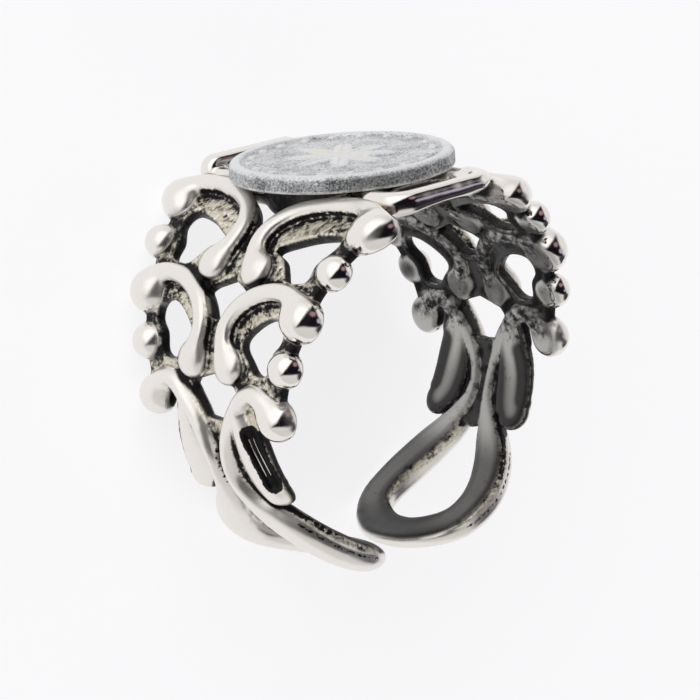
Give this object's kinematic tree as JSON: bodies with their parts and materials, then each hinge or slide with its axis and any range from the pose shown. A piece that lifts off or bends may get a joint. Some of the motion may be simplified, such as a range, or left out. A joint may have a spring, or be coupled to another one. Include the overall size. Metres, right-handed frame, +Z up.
{
  "type": "scroll ring",
  "caption": "Wide pierced scroll band, open at the back, with edge balls and a round plain-rosette disc on top, lying on its side.",
  "frame": {"origin": "centre of the finger hole, on its axis, midway between the band's two edges", "axes": "+Z up from the surface that the ring lies on, +Y away from the disc towards the open back of the band, +X across the disc; the finger hole's axis leans from +Z towards +Y"},
  "size_m": [0.0208, 0.0225, 0.0168],
  "materials": {
    "scroll_band": "polished silver, blackened in the recesses",
    "coin_disc": "grey, grained"
  },
  "bodies": {
    "root": {"scroll_band": "scroll_band", "coin_disc": "coin_disc"}
  },
  "joints": []
}
